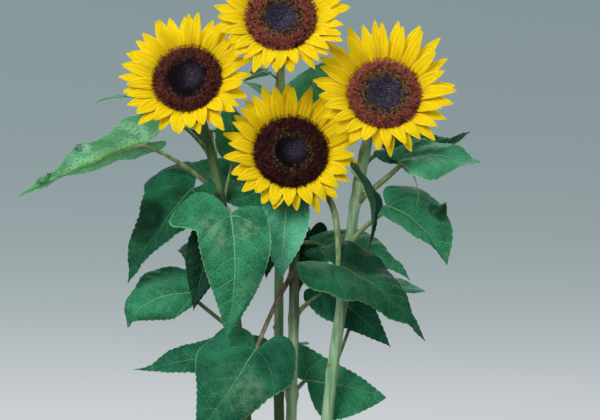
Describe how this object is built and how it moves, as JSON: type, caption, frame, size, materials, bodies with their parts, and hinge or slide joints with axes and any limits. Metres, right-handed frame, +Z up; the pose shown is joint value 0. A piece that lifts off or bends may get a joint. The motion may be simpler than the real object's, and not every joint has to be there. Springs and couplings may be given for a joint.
{
  "type": "sunflower plant",
  "caption": "Rooted sunflower plant: upright stems from one root crown, heart-shaped toothed leaves and yellow-rayed flower heads with dark maroon discs.",
  "frame": {"origin": "centre of the flat cut at ground level, under the root crown", "axes": "+Z up the stems, -Y the way the flower heads face, +X to the right of someone looking at the flower heads"},
  "size_m": [0.5404, 0.4038, 0.9985],
  "materials": {
    "stem": "ridged green stem with short bristles, matt",
    "leaf": "rough hairy leaf with raised pale veins, low sheen",
    "bract": "hairy green bracts, matt",
    "ray": "grooved yellow petals, soft satin",
    "disc": "dense maroon and black florets, matt"
  },
  "bodies": {
    "root": {"calyx_left": "bract", "calyx_middle": "bract", "calyx_right": "bract", "calyx_top": "bract", "disc_left": "disc", "disc_middle": "disc", "disc_right": "disc", "disc_top": "disc", "leaf_left_1": "leaf", "leaf_left_10": "leaf", "leaf_left_2": "leaf", "leaf_left_3": "leaf", "leaf_left_4": "leaf", "leaf_left_5": "leaf", "leaf_left_6": "leaf", "leaf_left_7": "leaf", "leaf_left_8": "leaf", "leaf_left_9": "leaf", "leaf_middle_1": "leaf", "leaf_middle_2": "leaf", "leaf_middle_3": "leaf", "leaf_middle_4": "leaf", "leaf_middle_5": "leaf", "leaf_middle_6": "leaf", "leaf_middle_7": "leaf", "leaf_middle_8": "leaf", "leaf_right_1": "leaf", "leaf_right_2": "leaf", "leaf_right_3": "leaf", "leaf_right_4": "leaf", "leaf_right_5": "leaf", "leaf_right_6": "leaf", "leaf_right_7": "leaf", "leaf_right_8": "leaf", "leaf_right_9": "leaf", "leaf_top_1": "leaf", "leaf_top_10": "leaf", "leaf_top_11": "leaf", "leaf_top_2": "leaf", "leaf_top_3": "leaf", "leaf_top_4": "leaf", "leaf_top_5": "leaf", "leaf_top_6": "leaf", "leaf_top_7": "leaf", "leaf_top_8": "leaf", "leaf_top_9": "leaf", "rays_left": "ray", "rays_middle": "ray", "rays_right": "ray", "rays_top": "ray", "root_crown": "stem", "stem_left": "stem", "stem_middle": "stem", "stem_right": "stem", "stem_top": "stem"}
  },
  "joints": []
}
